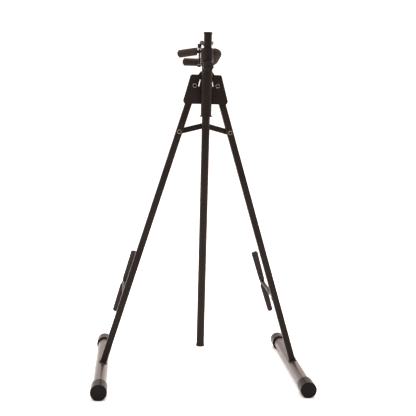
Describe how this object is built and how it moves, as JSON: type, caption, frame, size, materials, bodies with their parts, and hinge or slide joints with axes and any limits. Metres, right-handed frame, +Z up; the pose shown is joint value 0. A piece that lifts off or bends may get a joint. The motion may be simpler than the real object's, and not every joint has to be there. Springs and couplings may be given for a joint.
{
  "type": "instrument floor stand",
  "caption": "Folding A-frame floor stand for a cello, bass or guitar: two hinged legs on long foot tubes, a sliding mast with a padded neck yoke, and two padded side rests",
  "frame": {"origin": "on the floor, at the middle of the four rubber caps", "axes": "+Z up along the mast, +Y towards the instrument in front of the stand, +X to the right when seen from behind"},
  "size_m": [0.5224, 0.388, 0.84],
  "materials": {
    "black_steel": "satin",
    "gloss_steel": "gloss",
    "plated_steel": "polished",
    "rubber": "matt",
    "black_plastic": "matt",
    "nylon": "satin",
    "foam": "matt"
  },
  "bodies": {
    "head": {"rear_plate": "black_steel", "front_plate": "black_steel", "pivot_rivets": "plated_steel", "pivot_washers": "nylon", "guide_sleeve": "black_steel", "upper_bush": "black_plastic", "lower_bush": "black_plastic", "screw_boss": "black_steel"},
    "left_leg": {"left_leg_tube": "black_steel", "left_leg_plug": "black_plastic", "left_foot_tube": "gloss_steel", "left_rear_cap": "rubber", "left_front_cap": "rubber", "left_arm_boss": "black_steel", "left_link_rivet": "plated_steel"},
    "right_leg": {"right_leg_tube": "black_steel", "right_leg_plug": "black_plastic", "right_foot_tube": "gloss_steel", "right_rear_cap": "rubber", "right_front_cap": "rubber", "right_arm_boss": "black_steel", "right_link_rivet": "plated_steel", "link_spacer": "nylon"},
    "left_spreader": {"left_link": "black_steel", "middle_rivet": "plated_steel"},
    "right_spreader": {"right_link": "black_steel", "middle_rivet_head": "plated_steel"},
    "left_arm": {"left_arm_rod": "black_steel", "left_arm_retainer": "plated_steel", "left_arm_tee": "black_steel", "left_arm_bar": "plated_steel", "left_lower_pad": "foam", "left_upper_pad": "foam", "left_bar_plugs": "black_plastic"},
    "right_arm": {"right_arm_rod": "black_steel", "right_arm_retainer": "plated_steel", "right_arm_tee": "black_steel", "right_arm_bar": "plated_steel", "right_lower_pad": "foam", "right_upper_pad": "foam", "right_bar_plugs": "black_plastic"},
    "mast": {"mast_tube": "black_steel", "mast_top_cap": "black_plastic", "mast_foot_cap": "black_plastic", "yoke_collar": "black_steel", "collar_pin": "plated_steel", "yoke_channel": "plated_steel", "channel_pin": "black_plastic", "clamp_block": "black_plastic", "clamp_bolt": "plated_steel", "wing_washer": "plated_steel"},
    "yoke": {"yoke_rod": "plated_steel", "yoke_foam": "foam", "yoke_tip_foam": "foam", "yoke_plugs": "black_plastic"},
    "wing_nut": {"wing_nut": "plated_steel"},
    "clamp_knob": {"clamp_knob": "black_plastic", "clamp_screw": "plated_steel"}
  },
  "joints": [
    {"name": "left_leg_fold", "type": "hinge", "parent": "head", "child": "left_leg", "pos_m": [-0.0276, -0.025, 0.7156], "axis": [0, 1, 0], "range_deg": [-17.1, 0]},
    {"name": "right_leg_fold", "type": "hinge", "parent": "head", "child": "right_leg", "pos_m": [0.0276, -0.025, 0.7156], "axis": [0, 1, 0], "range_deg": [0, 17.1]},
    {"name": "left_spreader_fold", "type": "hinge", "parent": "left_leg", "child": "left_spreader", "pos_m": [-0.06168, -0.025, 0.60482], "axis": [0, 1, 0], "range_deg": [-32.54, 0]},
    {"name": "right_spreader_fold", "type": "hinge", "parent": "right_leg", "child": "right_spreader", "pos_m": [0.06168, -0.025, 0.60482], "axis": [0, 1, 0], "range_deg": [0, 32.54]},
    {"name": "mast_slide", "type": "slide", "parent": "head", "child": "mast", "axis": [0, 0, 1], "range_m": [-0.0015, 0.55]},
    {"name": "yoke_tilt", "type": "hinge", "parent": "mast", "child": "yoke", "pos_m": [0, -0.0277, 0.796], "axis": [1, 0, 0], "range_deg": [-25, 37]},
    {"name": "wing_nut_turn", "type": "hinge", "parent": "mast", "child": "wing_nut", "pos_m": [0, -0.0182, 0.8041], "axis": [0, 0, 1], "continuous": true},
    {"name": "clamp_knob_turn", "type": "hinge", "parent": "head", "child": "clamp_knob", "pos_m": [0, -0.0689, 0.76], "axis": [0, -1, 0], "continuous": true},
    {"name": "left_arm_swing", "type": "hinge", "parent": "left_leg", "child": "left_arm", "pos_m": [-0.18929, -0.025, 0.19], "axis": [0, 1, 0], "range_deg": [-30, 10]},
    {"name": "right_arm_swing", "type": "hinge", "parent": "right_leg", "child": "right_arm", "pos_m": [0.18929, -0.025, 0.19], "axis": [0, 1, 0], "range_deg": [-10, 30]}
  ],
  "couplings": [
    {"joint": "right_leg_fold", "follows": "left_leg_fold", "ratio": -1},
    {"joint": "left_spreader_fold", "follows": "left_leg_fold", "ratio": 1.9029},
    {"joint": "right_spreader_fold", "follows": "left_leg_fold", "ratio": -1.9029}
  ]
}
